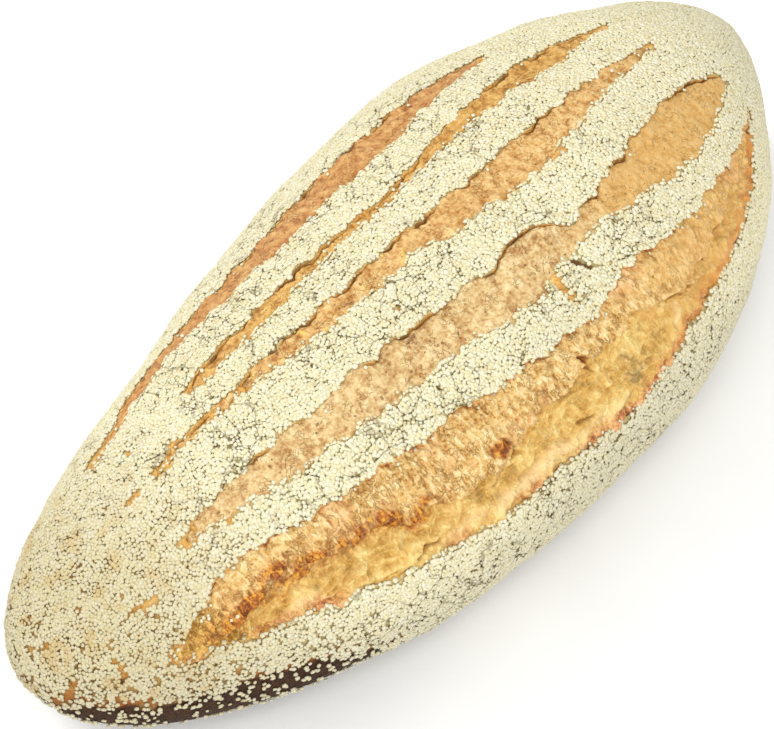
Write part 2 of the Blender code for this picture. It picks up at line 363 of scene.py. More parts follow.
last_side, last_rim = across[:, OUTLINE_STEPS - QUARTER], across[:, OUTLINE_STEPS - RIM_STEP]
lay(previous, last_side, NEAR_BAND_COLUMNS, 1)
lay(last_side, last_rim, LOWER_SIDE_COLUMNS)
lay(last_rim, across[:, -1], BASE_COLUMNS)

skin_across, skin_raised, skin_coat, edge_browning_and_shade = (np.stack(part, axis=1) for part in zip(*columns))
x_grid = np.broadcast_to(skin_crust.x[:, None], skin_across.shape)
spots = np.stack([x_grid, skin_across], axis=-1)
skin_raised = skin_raised - SKIN_DEPTH + MM * rough(spots, 101, (0.30, 9), (0.16, 3.7))
skin_points = skin_crust.points(skin_across, skin_raised)

# Bare places, where the grain fell away: along, across, half length and half width in millimetres
BARE = (
    (-115, -9.4, 3.4, 1.4), (-134.7, 15.9, 2.6, 1.2), (-138, 14, 2.2, 0.8), (-148.5, 13.9, 1.6, 1.0),
    (-150.7, 21, 1.0, 3.2), (-146.7, 0.6, 1.0, 0.8), (-161.8, 12.5, 2.2, 1.6), (-96, -13, 1.4, 0.9),
    (-104, -23, 0.6, 2.0), (16.6, 36, 1.6, 2.0), (16.2, 39.6, 1.3, 2.0), (16.6, 42.8, 1.8, 1.1),
    (18.7, 45.5, 1.8, 0.9),
)
# Pits, where grain and a little crust broke out, drawn dark with painted shade inside them: along, across and
# reach in millimetres
PITS = ((-136.3, 18.6, 0.8), (-57.3, -10.5, 0.9), (-58.9, 13.0, 0.8), (-35, 34.2, 0.8), (-152, 24, 0.7),
        (-92, 13, 0.7), (24.2, 34.8, 1.15), (25.4, 36.2, 1.15), (26.5, 37.6, 1.1), (27.5, 39, 1.1),
        (28.4, 40.4, 1.0), (-97.2, -9, 0.6))
BURNT_LEAST = 9 * MM  # the burnt band is about this high all round, and higher at the near end
SINGED_HEIGHT = 14 * MM  # and browned crust with less grain goes on this far above it
FOOT = (1.8 * MM, 3.2 * MM)  # the coat starts between these heights, clear of the stone

# Stretches along the loaf over which the coat changes: near end, its low side, its burn, far end
NEAR_STRETCH = (-155 * MM, -85 * MM)
LOW_STRETCH = (-110 * MM, -60 * MM)
BURNT_STRETCH = (-112 * MM, -55 * MM)
FAR_STRETCH = (105 * MM, 155 * MM)
z = skin_points[..., 2]
bare = np.zeros_like(z)
pit = np.zeros_like(z)
broken = 0.3 * unevenness(spots, 1.3, 116)
for place, side, reach in PITS:
    pit = np.maximum(pit, fade(from_oval(spots, place, side, reach, reach) + broken, 0.7, 1.3))
ragged = 0.35 * unevenness(spots, 1.7, 111)
for oval in BARE:
    bare = np.maximum(bare, fade(from_oval(spots, *oval) + ragged, 0.8, 1.25))
near_end = fade(x_grid, *NEAR_STRETCH)
near_side = smooth(skin_across, 74 * MM, 96 * MM)
low_near = fade(x_grid, *LOW_STRETCH) * fade(z, 24 * MM, 54 * MM)
scattered = rough(skin_points, 112, (1, 5.5), (0.5, 2.3))
small = rough(skin_points, 114, (1, 2.6), (0.5, 1.5))
bare = np.maximum(bare, smooth(scattered + 0.1 * near_end + 0.5 * low_near, 1.05, 1.25))
bare = np.maximum(bare, smooth(small + 0.2 * near_end + 0.35 * low_near, 1.2, 1.35))
scorched = fade(x_grid, *BURNT_STRETCH) * smooth(-skin_points[..., 1], -34 * MM, 4 * MM)
burnt_top = BURNT_LEAST + (25 * scorched + 3 * scattered) * MM
burnt = fade(z, burnt_top - 2 * MM, burnt_top + 3 * MM)
above_burnt = fade(z, burnt_top, burnt_top + SINGED_HEIGHT)
bare = np.maximum(bare, above_burnt * smooth(scattered, 0.62, 0.88))
singed = 0.45 * above_burnt
skin_coat = skin_coat * (1 - 0.97 * bare) * (1 - 0.72 * burnt) * (1 - 0.1 * near_side) * (1 - pit)
skin_coat = skin_coat * (1 - 0.45 * low_near) * smooth(z, *FOOT)
far_end = smooth(x_grid, *FAR_STRETCH)
# How much darker the crust and its grain are drawn: painted shade on the near side and towards the ends, and
# real browning low at the near end
dim = np.clip(near_side + 0.3 * near_end + low_near + 0.6 * far_end, 0, 1)
warm = near_end * (1 - 0.6 * low_near)

rows, count = skin_across.shape
poles = [(end * (LENGTH / 2 - SKIN_DEPTH), SIDE_BOW - SIDE_SHIFT, WIDEST_HEIGHT) for end in (-1, 1)]
corners = np.concatenate([skin_points.reshape(-1, 3), poles])
faces = grid_faces(rows, count, closed=True)
faces += [(rows * count, (column + 1) % count, column) for column in range(count)]
last = (rows - 1) * count
faces += [(rows * count + 1, last + column, last + (column + 1) % count) for column in range(count)]


def with_poles(numbers, ends=(0, 0)):
    """The skin's numbers with those of its two end points."""
    return np.concatenate([np.ravel(numbers), ends])


skin_mesh = closed_mesh("crust", corners, faces, {
    "coat": with_poles(skin_coat, (0.8, 0.9)),
    "bare": with_poles(bare),
    "burnt": with_poles(np.maximum(burnt, singed)),
    "dim": with_poles(dim, (0.6, 0)),
    "warm": with_poles(warm, (1, 0)),
    "pit": with_poles(pit),
    "edge": with_poles(edge_browning_and_shade),
})


class Wire:
    """A socket among the nodes of a finish or of a shape. Sums on values add Math nodes."""

    def __init__(self, tree, socket=None):
        self.tree = tree
        self.socket = socket

    def node(self, kind, settings=None, inputs=None, output=0):
        """Adds a node and returns one of its outputs. Settings are set first, then inputs."""
        made = self.tree.nodes.new(kind)
        for name, value in (settings or {}).items():
            if name == "stops":
                ramp = made.color_ramp
                while len(ramp.elements) < len(value):
                    ramp.elements.new(0.5)
                for element, (place, shade) in zip(ramp.elements, value):
                    element.position = place
                    element.color = shade
            else:
                setattr(made, name, value)
        for name, value in (inputs or {}).items():
            if isinstance(value, Wire):
                self.tree.links.new(value.socket, made.inputs[name])
            else:
                made.inputs[name].default_value = value
        return Wire(self.tree, made.outputs[output])

    def sum(self, operation, *values):
        return self.node("ShaderNodeMath", {"operation": operation}, dict(enumerate(values)))

    def __add__(self, other):
        return self.sum("ADD", self, other)

    def __sub__(self, other):
        return self.sum("SUBTRACT", self, other)

    def __rsub__(self, other):
        return self.sum("SUBTRACT", other, self)

    def __mul__(self, other):
        return self.sum("MULTIPLY", self, other)

    def __gt__(self, other):
        return self.sum("GREATER_THAN", self, other)

    def __lt__(self, other):
        return self.sum("LESS_THAN", self, other)

    __radd__ = __add__
    __rmul__ = __mul__

    def sized(self):
        """The value without its sign."""
        return self.sum("ABSOLUTE", self)

    def step(self, low, high):
        """0 below low, 1 above high, and an even rise between."""
        inputs = {"Value": self, "From Min": low, "From Max": high}
        return self.node("ShaderNodeMapRange", {"interpolation_type": "SMOOTHSTEP"}, inputs)

    def vectors(self, operation, *values):
        return self.node("ShaderNodeVectorMath", {"operation": operation}, dict(enumerate(values)))

    def ramp(self, *stops):
        """This value as a colour, by stops of a place from 0 to 1 and a colour off a screen."""
        stops = [(place, colour(*shade)) for place, shade in stops]
        return self.node("ShaderNodeValToRGB", {"stops": stops}, {"Fac": self})

    def toward(self, shade, share):
        """This colour mixed toward another, a wire or one off a screen, by a share from 0 to 1."""
        shade = shade if isinstance(shade, Wire) else colour(*shade)
        settings = {"data_type": "RGBA", "clamp_factor": True}
        return self.node("ShaderNodeMix", settings, {0: share, 6: self, 7: shade}, 2)

    def under(self, *coats):
        """This colour under others, each given with the share from 0 to 1 by which it covers."""
        seen = self
        for shade, share in coats:
            seen = seen.toward(shade, share)
        return seen

    def times(self, share):
        """This colour made darker or lighter."""
        grey = self.node("ShaderNodeCombineColor", inputs={"Red": share, "Green": share, "Blue": share})
        settings = {"data_type": "RGBA", "blend_type": "MULTIPLY"}
        return self.node("ShaderNodeMix", settings, {0: 1.0, 6: self, 7: grey}, 2)

    def mottle(self, places, size, detail=2.0):
        """Soft unevenness of a size in metres, about 0.5."""
        return self.node("ShaderNodeTexNoise", None, {"Vector": places, "Scale": 1 / size, "Detail": detail})

    def kept(self, name):
        """A number stored at the corners of the piece."""
        return self.node("ShaderNodeAttribute", {"attribute_name": name}, None, "Fac")


def colour(red, green, blue):
    """A colour read off a screen, 0 to 255, as the light it stands for."""
    shares = [part / 255 for part in (red, green, blue)]
    return tuple(s / 12.92 if s <= 0.04045 else ((s + 0.055) / 1.055) ** 2.4 for s in shares) + (1,)


def new_finish(name, roughness, gloss=0.5):
    """A material, its shader node, its first wire and the places on the object."""
    material = bpy.data.materials.new(name)
    material.use_nodes = True
    shader = material.node_tree.nodes["Principled BSDF"]
    shader.inputs["Roughness"].default_value = roughness
    shader.inputs["Specular IOR Level"].default_value = gloss
    wire = Wire(material.node_tree)
    return material, shader, wire, wire.node("ShaderNodeTexCoord", output="Object")


def finish_with(shader, wire, base, height, depth):
    """Joins a colour and a relief to a shader."""
    wire.tree.links.new(base.socket, shader.inputs["Base Color"])
    bump = wire.node("ShaderNodeBump", None, {"Height": height, "Distance": depth, "Strength": 1.0})
    wire.tree.links.new(bump.socket, shader.inputs["Normal"])


# The lines along which the coat of grain cracked as the loaf rose, shared by skin and grain
CRACK_CELL = 6.5 * MM
CRACK_WANDER = 3.5 * MM
CRACK_WANDER_SIZE = 5 * MM
CRACK_PATCH = 14 * MM
CRACK_FADE = (30 * MM, 100 * MM)  # towards the far end the cracks close up, between these places


def crack_lines(wire, places):
    """How far from the nearest crack each place is, in metres, and where the cracks are open."""
    scale = 1 / CRACK_WANDER_SIZE
    wander = wire.node("ShaderNodeTexNoise", None, {"Vector": places, "Scale": scale}, "Color")
    shifted = wire.vectors("MULTIPLY_ADD", wander, (CRACK_WANDER,) * 3, places)
    edges = wire.node("ShaderNodeTexVoronoi", {"feature": "DISTANCE_TO_EDGE"},
                      {"Vector": shifted, "Scale": 1 / CRACK_CELL}, "Distance")
    chosen = wire.mottle(places, CRACK_PATCH, 1.0).step(0.42, 0.58)
    along = wire.node("ShaderNodeSeparateXYZ", None, {"Vector": places}, "X")
    return edges * CRACK_CELL, chosen * (1 - along.step(*CRACK_FADE) * 0.85)


crust_finish, shader, wire, places = new_finish("grain-dusted crust", 0.8, 0.25)
cracks, cracked = crack_lines(wire, places)
# Along the cracks the skin is drawn darker: painted shade down in the cracks
crack = (1 - cracks.step(0.05 * MM, 0.4 * MM)) * cracked
burnt_share, shade_and_browning_share = wire.kept("burnt"), wire.kept("dim")
fine = wire.mottle(places, 0.7 * MM, 3)
broad = wire.mottle(places, 6 * MM, 3)
meal = fine.ramp((0.3, (164, 148, 98)), (0.5, (190, 176, 124)), (0.7, (214, 204, 158)))
# the gaps between grains drawn warmer at the near end, darker on the near side and towards the ends as
# painted shade, and darker low at the near end as real browning
meal = meal.under(
    ((188, 138, 68), wire.kept("warm") * 0.8),
    ((104, 78, 40), shade_and_browning_share * 0.6),
    ((92, 70, 38), crack * 0.7),
)
baked = (broad * 0.5 + fine * 0.5).ramp(
    (0.34, (162, 104, 40)), (0.48, (208, 158, 82)), (0.62, (230, 192, 122)),
)
# bare crust darker by the same share: real browning low at the near end, painted shade elsewhere
baked = baked.toward((122, 66, 18), shade_and_browning_share * 0.85)
char = fine.ramp((0.3, (32, 15, 3)), (0.55, (56, 31, 9)), (0.75, (98, 60, 22)))
skin_colour = baked.under(
    (meal, (wire.kept("coat") * 1.2).step(0.1, 0.7) * (1 - wire.kept("bare"))),
    ((146, 82, 20), burnt_share.step(0.1, 0.6) * broad.step(0.4, 0.6)),
    (char, burnt_share.step(0.4, 0.9)),
    # near black in the pits and the slit at the neck: painted shade
    ((70, 40, 18), wire.kept("pit") * 0.9),
    # dark brown along the fall under each upper lip: partly baked crust, partly painted shade
    ((112, 66, 26), wire.kept("edge") * broad.step(0.46, 0.6) * 0.8),
)
relief = fine * 0.5 + wire.mottle(places, 0.35 * MM, 2) * 0.3 - crack * 1.2
finish_with(shader, wire, skin_colour, relief, 0.35 * MM)

crust = put_in("crust", skin_mesh, crust_finish)
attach(crust, "root")
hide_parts("loaf")

# The torn crumb of the near-side slash, where the loaf burst widest in the oven. Baked wheat crumb:
# a crisp toasted shelf under the curled edge, and below its tear the softer crumb that came last.
CRUMB_STEP = 0.33 * MM
CRUMB_END = 0.5 * MM  # the crumb stops this short of a slash's tips
CRUMB_TUCK = 1.0 * MM  # and reaches this far in under the crust at both edges
UPPER_TUCK_DEPTH = 3.2 * MM
LOWER_TUCK_DEPTH = 2.4 * MM
CLOSED_DEPTH = 1.6 * MM  # how deep it lies where a slash closes up
SHELF = ((0, -1.7), (0.05, -1.4), (0.18, -1.0), (0.42, -0.7), (0.8, -0.5), (0.97, -0.4), (1, -0.9))
SOFT = ((0, -2.4), (0.06, -3.1), (0.3, -3.0), (0.6, -2.4), (0.85, -1.5), (1, -0.8))


def profile(share, stations):
    """A height in metres at each share, from pairs of share and millimetres."""
    places, heights = np.array(stations).T
    return np.interp(share, places, heights) * MM


def strewn_grain(from_bottom, past_upper, opened):
    """How much loose grain lies over the crumb: a little by the edges, more where a slash closes up."""
    by_edges = 0.06 * fade(from_bottom, 0.4 * MM, 2.6 * MM) + 0.02 * fade(past_upper, 1 * MM, 4 * MM)
    return by_edges + 0.16 * fade(opened, 0.3, 0.98)


def lay_slab(name, crust_form, across, heights, values):
    """A closed slab: a surface over the crust, with its edges joined straight through beneath."""
    points = crust_form.points(across, heights)
    rows, count = across.shape
    faces = grid_faces(rows, count, closed=False)
    row = np.arange(rows - 1) * count
    under = np.stack([row, row + count, row + 2 * count - 1, row + count - 1], axis=-1)
    faces += under.tolist()
    faces.append(list(range(count - 1, -1, -1)))
    faces.append(list(range((rows - 1) * count, rows * count)))
    return closed_mesh(name, points.reshape(-1, 3), faces, values)


def slab_grid(name):
    """A slash's floor as rows and columns: form, spots, shares across, both edges and openness."""
    first, last = (SLASHES[name][end][0] * MM for end in (0, -1))
    x = np.linspace(first + CRUMB_END, last - CRUMB_END, round((last - first) / CRUMB_STEP))
    form = Crust(x)
    # the edges are worked out on the skin's own rows, so that floor and skin agree
    upper, lower, opened, _ = (np.interp(x, skin_crust.x, line) for line in skin_crust.slash_edges(name))
    shares = np.linspace(0, 1, round((lower - upper).max() / CRUMB_STEP))
    across = upper[:, None] + (lower - upper)[:, None] * shares
    tuck = np.minimum(CRUMB_TUCK, 0.3 * (lower - upper))[:, None]
    across = np.concatenate([across[:, :1] - tuck, across, across[:, -1:] + tuck], axis=1)
    shares = np.concatenate([[0], shares, [1]])[None, :] + 0 * across
    spots = np.stack([form.x[:, None] + 0 * across, across], axis=-1)
    opened = frayed(opened[:, None] + 0 * across, spots, name)
    return form, spots, shares, upper[:, None], lower[:, None], opened


# Marks of this crumb, as places along and across in millimetres: short deep cracks, a pale fold
FISSURES = (
    ((5.5, 56.9), (6.6, 57.9), (7.2, 59.7), (7.2, 61.9), (7.8, 64.0)),
    ((-30.1, 58.9), (-28.9, 60.8), (-28.4, 62.8), (-27.8, 64.7), (-30.6, 64.8)),
    ((-4.9, 73.5), (-2.0, 74.2), (0.3, 75.1)),
    ((-71.1, 66.0), (-66.9, 65.4), (-62.0, 67.0)),
    ((43.0, 64.6), (50.0, 67.4), (58.0, 68.6)),
)
PALE_FOLD = ((46.2, 69.0), (43.0, 73.0))

# and scorched blotches and a small hollow drawn only as painted shade, with their half length and half width
BLOTCHES = ((-32.9, 59.4, 3.4, 3.0), (6.6, 59.3, 1.6, 2.4), (-117, 37.7, 5, 2.5))
SHADED_HOLLOW = (20.5, 76, 3.4, 2.2)

# Stretches along this crumb over which its ragged tip and its near part end, and over which its
# toast, its calmer crumb and its amber lower edge set in
TIP_END = (-130 * MM, -112 * MM)
NEAR_PART_END = (-75 * MM, -40 * MM)
TOAST_START = (-140 * MM, -122 * MM)
CALM_START = (20 * MM, 60 * MM)
AMBER_START = (14 * MM, 34 * MM)


def how_far(spots, stations):
    """How far each spot is from a line through stations given in millimetres."""
    nearest = np.full(spots.shape[:-1], np.inf)
    stations = np.array(stations) * MM
    for start, end in zip(stations[:-1], stations[1:]):
        run = end - start
        share = np.clip((spots - start) @ run / (run @ run), 0, 1)
        nearest = np.minimum(nearest, np.linalg.norm(spots - start - share[..., None] * run, axis=-1))
    return nearest


form, spots, shares, upper, lower, opened = slab_grid("near_side")
x_grid, across = spots[..., 0], spots[..., 1]
width = lower - upper
past_upper = across - upper
tear_line = np.interp(form.x, skin_crust.x, crust_line(skin_crust.x, skin_crust.half_girths, TEAR))[:, None]
tear = np.clip((tear_line - upper) / width, *TEAR_KEEPS)
near_part = fade(x_grid, *NEAR_PART_END)
tear_rag = 3.4 * unevenness(spots, (13, 30), 201) + 2.0 * unevenness(spots, 6, 202)
tear_rag += 1.0 * unevenness(spots, 2.6, 203) + 0.5 * unevenness(spots, 1.1, 212)
past_tear = past_upper - tear * width + tear_rag * MM * smooth(width, 6 * MM, 20 * MM)
shelf_share = np.clip(1 + past_tear / np.maximum(tear * width, 1 * MM), 0, 1)
soft_share = np.clip(past_tear / np.maximum((1 - tear) * width, 1 * MM), 0, 1)
on_shelf = fade(past_tear, 0, 0.9 * MM)
shelf_height = profile(shelf_share, SHELF)
soft_height = profile(soft_share, SOFT)
pillow = rough(spots, 204, (1, (11, 6)), (0.5, (4.5, 2.6)))
fibre = rough(spots, 206, (1, (0.9, 2.4)), (0.6, 0.8))
grit = unevenness(spots, 0.55, 208)
lumps = rough(spots, 209, (1, 2.8), (0.6, 1.4))
tip = fade(x_grid + 3 * MM * lumps, *TIP_END)
wander = np.stack([unevenness(spots, 5, 221), unevenness(spots, 5, 222)], axis=-1) * 2.5 * MM
folds = 1 - 2 * np.abs(unevenness(spots + wander, (3.2, 6), 223))
flakes = 1 - 2 * np.abs(unevenness(spots + wander, (5.5, 1.9), 224))
shelf_height = shelf_height + MM * (0.34 * fibre + 0.26 * lumps + 0.12 * grit + 0.42 * folds)
flap = patches(spots, 225, (12, 30), 0.0, 0.6)
ridge = bell(past_tear, -1.2 * MM, 2.4 * MM) * np.maximum(near_part, 0.7 * flap)
shelf_height = shelf_height + MM * ridge * (0.5 + 0.55 * lumps + 0.25 * fibre)
soft_height = soft_height + MM * (0.9 * pillow + 0.28 * lumps + 0.2 * grit + 0.7 * flakes)
height = soft_height + (shelf_height - soft_height) * on_shelf
fissure = np.zeros_like(height)
for stations in FISSURES:
    off = how_far(spots, stations) + 0.2 * MM * unevenness(spots, 1.2, 231)
    fissure = np.maximum(fissure, fade(off, 0.1 * MM, 0.55 * MM))
    height = height + 0.7 * MM * bell(off, 1.5 * MM, 1.0 * MM)
height = height - 1.1 * MM * fissure + 0.5 * MM * tip * (flakes + 0.5 * lumps)
height = (height + CLOSED_DEPTH) * opened - CLOSED_DEPTH
height[:, 0] = -UPPER_TUCK_DEPTH
height[:, -1] = -LOWER_TUCK_DEPTH
crease = fade(np.abs(1 - flakes), 0, 0.16) * (1 - on_shelf) * patches(spots, 232, 9, -0.2, 0.4)
# The crumb's relief, to be drawn lighter on its bumps and darker in its dips: painted light and shade
texture = (0.5 * lumps + 0.5 * fibre + 0.4 * grit) * on_shelf
texture = texture + (0.4 * lumps + 0.6 * flakes + 0.3 * grit) * (1 - on_shelf)

toast = bell(past_tear, -1.4 * MM, 3.6 * MM) * smooth(near_part + 0.2 * pillow, 0.1, 0.8)
toast = np.clip(toast * smooth(x_grid, *TOAST_START) * (1.0 + 0.9 * lumps), 0, 1)
for oval in BLOTCHES:
    toast = np.maximum(toast, fade(from_oval(spots, *oval) + 0.3 * lumps, 0.7, 1.2))
blush = smooth(rough(spots, 227, (1, 12), (0.4, 4)), 0.05, 0.7)
# Darker in the low places of the crumb and in one small hollow: painted shade
hollow = 0.5 * smooth(-lumps - 0.5 * pillow, 0.6, 1.2) * (1 - on_shelf)
hollow = np.maximum(hollow, fade(from_oval(spots, *SHADED_HOLLOW) + 0.5 * lumps, 0.5, 1.2))
from_bottom = lower - across
streak = smooth(x_grid, -46 * MM, -38 * MM) * fade(x_grid, -14 * MM, -6 * MM)
streak = np.maximum(streak, 0.6 * patches(spots, 211, (20, 5), 0.1, 0.5))
pale = bell(from_bottom, 4.5 * MM, 2.2 * MM) * streak
pale = np.maximum(pale, bell(how_far(spots, PALE_FOLD), 0, 1.1 * MM))
calm = smooth(x_grid + 8 * MM * lumps, *CALM_START)
rim_width = (4.4 + 2.0 * unevenness(spots, (9, 30), 226)) * MM
lower_rim = fade(from_bottom + 0.9 * MM * lumps, 0.3 * rim_width, rim_width)
amber = fade(from_bottom + 1.2 * MM * lumps, 2 * MM, 5.5 * MM) * smooth(x_grid, *AMBER_START)
red_places = smooth(x_grid, -14 * MM, -6 * MM) * fade(x_grid, 30 * MM, 40 * MM)
red_places = np.maximum(red_places, bell(x_grid, -99 * MM, 6 * MM))
red_places = np.maximum(red_places, 0.7 * patches(spots, 229, (14, 40), 0.1, 0.5))
# Just under the curled upper lip the crumb is drawn dark red-brown: painted shadow of the lip
lip_shadow = fade(past_upper + 0.3 * MM * lumps, 0.1 * MM, 0.9 * MM) * patches(spots, 230, (6, 30), -0.6, 0.2)
# the real reddened lower edge and that painted lip shadow together
rim = np.maximum(lower_rim * red_places, lip_shadow)
crumb_mesh = lay_slab("near_side_crumb", form, across, height, {
    "toast": toast, "hollow": hollow, "pale": pale, "rim": rim, "shelf": on_shelf,
    "texture": texture, "blush": blush * on_shelf, "fissure": np.maximum(fissure, 0.9 * crease), "tip": tip,
    "amber": amber, "calm": calm,
    "coat": strewn_grain(from_bottom, past_upper, opened) + 0.12 * tip * (lumps > 0.2),
    # loose grain here is drawn a little in painted shade
    "dim": 0.2 + 0 * height, "warm": 0 * height,
})

CRUMB_SHADE = 0.92
crumb_finish, shader, wire, places = new_finish("torn crumb", 0.6, 0.4)
across_grain = wire.vectors("MULTIPLY", places, (1.5, 0.75, 0.75))
fine = wire.mottle(places, 0.6 * MM, 2.5)
broad = wire.mottle(across_grain, 1.7 * MM, 4)
wide = wire.mottle(places, 6 * MM, 3)
# the relief drawn into the colour as painted light and shade, over the crumb's own mottling
texture = wire.kept("texture") * 0.12
crisp = wire.kept("shelf") * (1 - wire.kept("calm") * 0.7)
wrinkle = 1 - (wire.mottle(across_grain, 1.7 * MM, 1.5) - 0.5).sized().step(0.0, 0.035)
wrinkle = wrinkle * wire.mottle(places, 4 * MM, 1).step(0.42, 0.6) * (0.35 + crisp * 0.65)
flake = wire.mottle(across_grain, 1.2 * MM, 2).step(0.58, 0.68) * (0.2 + crisp * 0.8)
mottle_and_relief_shade = fine * 0.4 + broad * 0.6 + texture
soft_mottle_and_relief_shade = fine * 0.25 + broad * 0.35 + wide * 0.4 + texture
shelf_tan = mottle_and_relief_shade.ramp(
    (0.32, (158, 104, 40)), (0.43, (203, 158, 86)), (0.54, (224, 189, 122)), (0.68, (242, 216, 164)),
)
soft_tan = soft_mottle_and_relief_shade.ramp(
    (0.34, (166, 120, 46)), (0.44, (203, 158, 76)), (0.54, (219, 181, 102)), (0.66, (232, 208, 136)),
)
olive = mottle_and_relief_shade.ramp((0.36, (136, 90, 22)), (0.48, (184, 138, 52)), (0.62, (222, 190, 106)))
rust = mottle_and_relief_shade.ramp((0.41, (108, 46, 2)), (0.51, (176, 96, 8)), (0.64, (220, 158, 42)))
red = mottle_and_relief_shade.ramp((0.36, (138, 70, 32)), (0.48, (198, 124, 74)), (0.6, (232, 178, 124)))
crumb_colour = soft_tan.under(
    (shelf_tan, wire.kept("shelf")),
    ((214, 168, 94), wire.kept("calm") * 0.6),
    ((248, 226, 168), flake * 0.35),
    ((150, 88, 34), wrinkle * 0.5),
    # khaki in the low places: painted shade
    ((156, 130, 76), wire.kept("hollow") * 0.8),
    ((242, 212, 156), wire.kept("pale") * 0.7),
    ((230, 168, 118), wire.kept("blush") * 0.22),
    (olive, wire.kept("tip") * 0.9),
    ((206, 132, 56), wire.kept("amber") * 0.6),
    (rust, wire.kept("toast") * 0.95),
    # red-brown along the lower edge as real colour, and under the upper lip as painted shadow
    (red, wire.kept("rim") * 0.85),
    ((120, 68, 24), wire.kept("fissure") * 0.7),
)
relief = (fine * 0.4 + broad * 0.6) * (0.5 + crisp * 0.5) + flake * 0.3 - wrinkle * 0.5
finish_with(shader, wire, crumb_colour.times(CRUMB_SHADE), relief, 0.6 * MM)

near_side_crumb = put_in("near_side_crumb", crumb_mesh, crumb_finish)
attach(near_side_crumb, "root")
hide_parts("loaf")

# The floors of the other four slashes, which opened less. The same baked crumb, drier and finer,
# sunk under the curled edge on the far side of each and flush with the crust on the near side.
FLOOR = ((0, -1.0), (0.05, -0.85), (0.15, -0.7), (0.5, -0.6), (0.85, -0.5), (1, -0.7))
FLOOR_TUCK_DEPTH = 3.0 * MM
GULLY_DEPTH = 1.3 * MM  # here and there the crumb tore off lower under the curled edge
GULLY_REACH = 1.3 * MM
FLUSH_RISE = 0.65 * MM  # and elsewhere it clings to the edge, almost flush
FLUSH_REACH = 3 * MM
BLISTER_HEIGHT = 0.6 * MM
LUMP_HEIGHT = 0.8 * MM

# Scorched lumps of some floors: along, across, half length and half width in millimetres
SCORCHED_LUMPS = {
    "crown": ((-58.3, -10.2, 3.6, 1.3), (-69, -9.8, 3, 0.9), (-31, -4.5, 1.6, 1.2), (-43.6, -9.4, 2.4, 1.0),
              (-27.2, -9.6, 3.4, 0.9)),
    "necked": ((-54, 23.6, 1.3, 0.8), (-50.4, 23.2, 0.7, 0.6), (-56.4, 22.8, 0.7, 0.6), (-28, 17.6, 3, 0.8)),
}
FLOOR_COLOURS = {
    "far_side": ((158, 94, 34), (192, 138, 74), (216, 172, 108)),
    "second": ((158, 104, 34), (198, 150, 74), (222, 182, 108)),
    "crown": ((166, 108, 40), (206, 163, 98), (228, 196, 136)),
    "necked": ((166, 116, 60), (206, 174, 118), (230, 206, 156)),
}


def floor_finish(name, stops):
    """The finish of one slash's floor, from a dark, a middle and a light colour."""
    finish, shader, wire, places = new_finish(name, 0.6, 0.4)
    fine = wire.mottle(places, 0.9 * MM, 2.5)
    broad = wire.mottle(places, 2.8 * MM, 4)
    wrinkle = 1 - (wire.mottle(places, 1.9 * MM, 1.5) - 0.5).sized().step(0.0, 0.03)
    wrinkle = wrinkle * wire.mottle(places, 5 * MM, 1).step(0.45, 0.62)
    specks = wire.mottle(places, 1.6 * MM, 1).step(0.71, 0.77)
    # the floor's own mottling, with its relief drawn in lighter on bumps: painted light and shade
    base = (fine * 0.45 + broad * 0.55 + wire.kept("texture") * 0.08).ramp(*zip((0.34, 0.5, 0.66), stops))
    base = base.under(
        ((150, 92, 40), wrinkle * 0.4),
        ((120, 72, 30), specks * 0.6),
        ((226, 190, 92), wire.kept("blister") * 0.7),
        ((212, 162, 80), wire.kept("amber") * 0.6),
        # dark red-brown under the upper lip as painted shadow, and on scorched lumps as real browning
        ((124, 68, 22), wire.kept("rim") * 0.8),
    )
    relief = fine * 0.4 + broad * 0.6 - wrinkle * 0.4 - specks
    finish_with(shader, wire, base.times(CRUMB_SHADE), relief, 0.55 * MM)
    return finish


